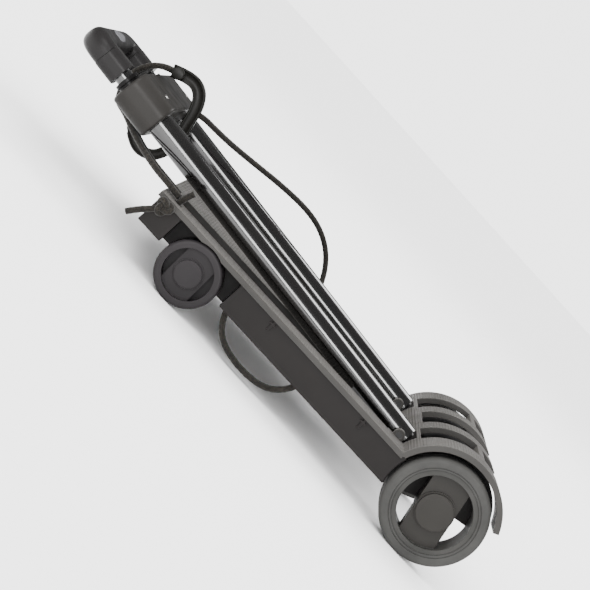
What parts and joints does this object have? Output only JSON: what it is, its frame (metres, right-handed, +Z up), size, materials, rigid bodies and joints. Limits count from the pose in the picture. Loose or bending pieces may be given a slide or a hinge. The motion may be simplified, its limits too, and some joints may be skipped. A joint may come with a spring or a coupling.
{
  "type": "folding luggage cart",
  "caption": "Folding luggage cart with a ribbed deck, large rear and small front wheels, a fold-down telescopic handle and a hooked elastic cord.",
  "frame": {"origin": "on the floor, midway along and across the folded cart", "axes": "+X to the rear, towards the large wheels; Y across, along the axles; +Z up, square to the floor on which all four wheels stand"},
  "size_m": [0.5787, 0.2645, 0.1433],
  "materials": {
    "deck_plastic": "fine ribbed, light satin",
    "skirt_plastic": "smooth satin",
    "elastic_cord": "braided",
    "hook_plastic": "satin",
    "tyre_rubber": "matt",
    "wheel_plastic": "satin",
    "small_wheel_plastic": "satin",
    "painted_tube": "gloss black",
    "bush_plastic": "satin",
    "bright_tube": "gloss",
    "grip_plastic": "satin",
    "button_plastic": "satin",
    "collar_plastic": "satin",
    "steel": "zinc plated"
  },
  "bodies": {
    "base": {"deck_cover": "deck_plastic", "side_frame": "skirt_plastic", "deck_screws": "steel", "rear_axle": "steel", "front_axle": "steel", "rear_axle_clips": "steel", "front_axle_clips": "steel", "pivot_pin_left": "steel", "pivot_pin_right": "steel", "cord_loop_lower": "elastic_cord", "cord_tail": "elastic_cord", "cord_stub": "elastic_cord", "cord_knot": "elastic_cord"},
    "rear_wheel_left": {"rear_tyre_left": "tyre_rubber", "rear_hub_left": "wheel_plastic", "rear_hub_cap_left": "wheel_plastic"},
    "rear_wheel_right": {"rear_tyre_right": "tyre_rubber", "rear_hub_right": "wheel_plastic", "rear_hub_cap_right": "wheel_plastic"},
    "front_wheel_left": {"front_wheel_left": "small_wheel_plastic", "front_wheel_cap_left": "small_wheel_plastic"},
    "front_wheel_right": {"front_wheel_right": "small_wheel_plastic", "front_wheel_cap_right": "small_wheel_plastic"},
    "handle_frame": {"outer_tube_left": "painted_tube", "outer_tube_right": "painted_tube", "tube_end_plug_left": "bush_plastic", "tube_end_plug_right": "bush_plastic", "mid_tube_guide_left": "bush_plastic", "mid_tube_guide_right": "bush_plastic", "collar": "collar_plastic", "collar_rivets": "steel", "cord_strand_front": "elastic_cord", "cord_strand_back": "elastic_cord", "cord_loop_upper": "elastic_cord", "bungee_hook": "hook_plastic"},
    "mid_stage": {"mid_tube_left": "bush_plastic", "mid_tube_right": "bush_plastic", "mid_tube_bush_left": "bush_plastic", "mid_tube_bush_right": "bush_plastic", "inner_tube_guide_left": "bush_plastic", "inner_tube_guide_right": "bush_plastic", "mid_lock_pins": "steel"},
    "grip_stage": {"inner_tube_left": "bright_tube", "inner_tube_right": "bright_tube", "grip_ferrule_left": "grip_plastic", "grip_ferrule_right": "grip_plastic", "grip_lower_shell": "grip_plastic", "grip_upper_shell": "grip_plastic", "inner_lock_pins": "steel", "button_spring": "steel"},
    "button": {"release_button": "button_plastic"}
  },
  "joints": [
    {"name": "rear_wheel_left_spin", "type": "hinge", "parent": "base", "child": "rear_wheel_left", "pos_m": [0.2359, -0.112, 0.05], "axis": [0, 1, 0], "continuous": true},
    {"name": "rear_wheel_right_spin", "type": "hinge", "parent": "base", "child": "rear_wheel_right", "pos_m": [0.2359, 0.112, 0.05], "axis": [0, 1, 0], "continuous": true},
    {"name": "front_wheel_left_spin", "type": "hinge", "parent": "base", "child": "front_wheel_left", "pos_m": [-0.0671, -0.1085, 0.031], "axis": [0, 1, 0], "continuous": true},
    {"name": "front_wheel_right_spin", "type": "hinge", "parent": "base", "child": "front_wheel_right", "pos_m": [-0.0671, 0.1085, 0.031], "axis": [0, 1, 0], "continuous": true},
    {"name": "handle_fold", "type": "hinge", "parent": "base", "child": "handle_frame", "pos_m": [0.1689, 0, 0.0686], "axis": [0, 1, 0], "range_deg": [0, 85]},
    {"name": "mid_stage_slide", "type": "slide", "parent": "handle_frame", "child": "mid_stage", "axis": [-0.9966, 0, 0.0819], "range_m": [0, 0.27]},
    {"name": "grip_stage_slide", "type": "slide", "parent": "mid_stage", "child": "grip_stage", "axis": [-0.9966, 0, 0.0819], "range_m": [0, 0.27]},
    {"name": "release_button_press", "type": "slide", "parent": "grip_stage", "child": "button", "axis": [-0.0819, 0, -0.9966], "range_m": [0, 0.003], "stiffness_N_per_m": 300, "deforming": ["button_spring"]}
  ]
}
